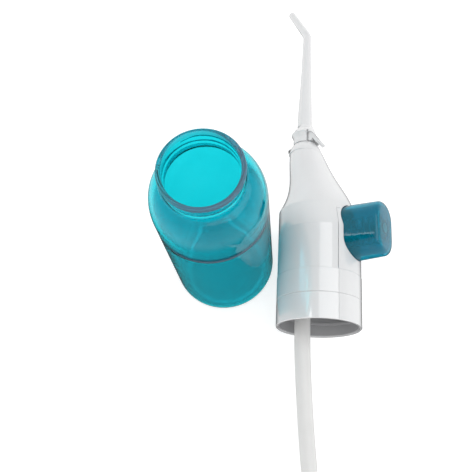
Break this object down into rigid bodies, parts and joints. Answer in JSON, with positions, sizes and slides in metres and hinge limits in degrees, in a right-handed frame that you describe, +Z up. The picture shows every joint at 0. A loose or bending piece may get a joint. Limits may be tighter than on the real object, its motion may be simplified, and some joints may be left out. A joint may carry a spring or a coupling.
{
  "type": "water flosser",
  "caption": "Hand-pumped water flosser taken apart for filling: an upright teal bottle, and a white pump head on its side with thumb button, angled nozzle and suction tube",
  "frame": {"origin": "centre of the bottle's base, on the floor the parts rest on", "axes": "+Z up through the bottle's mouth; +Y along the pump head toward its nozzle; +X from the bottle toward the head"},
  "size_m": [0.1159, 0.3045, 0.1212],
  "materials": {
    "teal_clear": "gloss",
    "teal_deep": "gloss",
    "white_abs": "gloss",
    "grey_abs": "satin",
    "white_pom": "matte",
    "silicone": "matte",
    "black_rubber": "matte",
    "steel": "satin",
    "dark_grey": "matte",
    "tube_clear": "satin"
  },
  "bodies": {
    "head": {"threaded_collar": "grey_abs", "rear_shell": "white_abs", "front_panel": "white_abs", "deck_plate": "white_abs", "bottle_gasket": "silicone", "vent_valve": "silicone", "tube_barb": "white_abs", "inlet_valve_body": "white_pom", "pump_barrel": "white_pom", "barrel_cap": "white_pom", "rod_wiper": "black_rubber", "pump_bracket": "white_pom", "pump_screws": "steel", "return_spring": "steel", "outlet_valve_body": "white_pom", "outlet_spring": "steel", "delivery_riser": "white_pom", "nozzle_socket": "white_abs", "suction_tube": "tube_clear"},
    "bottle": {"bottle": "teal_clear"},
    "plunger": {"thumb_button": "teal_deep", "piston_rod": "white_pom", "piston_head": "white_pom", "piston_seal": "black_rubber"},
    "inlet_ball": {"inlet_ball": "steel"},
    "outlet_ball": {"outlet_ball": "steel"},
    "swivel": {"swivel_ring": "white_abs", "swivel_seal": "black_rubber", "index_pin": "dark_grey"},
    "nozzle": {"nozzle": "white_abs", "nozzle_seals": "black_rubber", "tab_pin": "steel"},
    "release_tab": {"release_tab": "white_abs"}
  },
  "joints": [
    {"name": "bottle_lift", "type": "slide", "parent": "head", "child": "bottle", "axis": [0, 0, 1], "range_m": [0, 0.12]},
    {"name": "thumb_button", "type": "slide", "parent": "head", "child": "plunger", "axis": [-0.8746, 0, -0.4848], "range_m": [0, 0.01], "stiffness_N_per_m": 600, "springref_m": -0.004, "deforming": ["return_spring"]},
    {"name": "inlet_valve", "type": "slide", "parent": "head", "child": "inlet_ball", "axis": [0, 1, 0], "range_m": [0, 0.0015]},
    {"name": "outlet_valve", "type": "slide", "parent": "head", "child": "outlet_ball", "axis": [0, 1, 0], "range_m": [0, 0.0012], "stiffness_N_per_m": 20, "springref_m": -0.002, "deforming": ["outlet_spring"]},
    {"name": "nozzle_swivel", "type": "hinge", "parent": "head", "child": "swivel", "pos_m": [0.04378, 0.063, 0.01744], "axis": [0, 1, 0], "continuous": true},
    {"name": "nozzle_pull", "type": "slide", "parent": "swivel", "child": "nozzle", "axis": [0, 1, 0], "range_m": [0, 0.02]},
    {"name": "tab_squeeze", "type": "hinge", "parent": "nozzle", "child": "release_tab", "pos_m": [0.04771, 0.0723, 0.01962], "axis": [0.4848, 0, -0.8746], "range_deg": [0, 5], "stiffness_Nm_per_rad": 0.02, "springref_deg": -5.73}
  ]
}
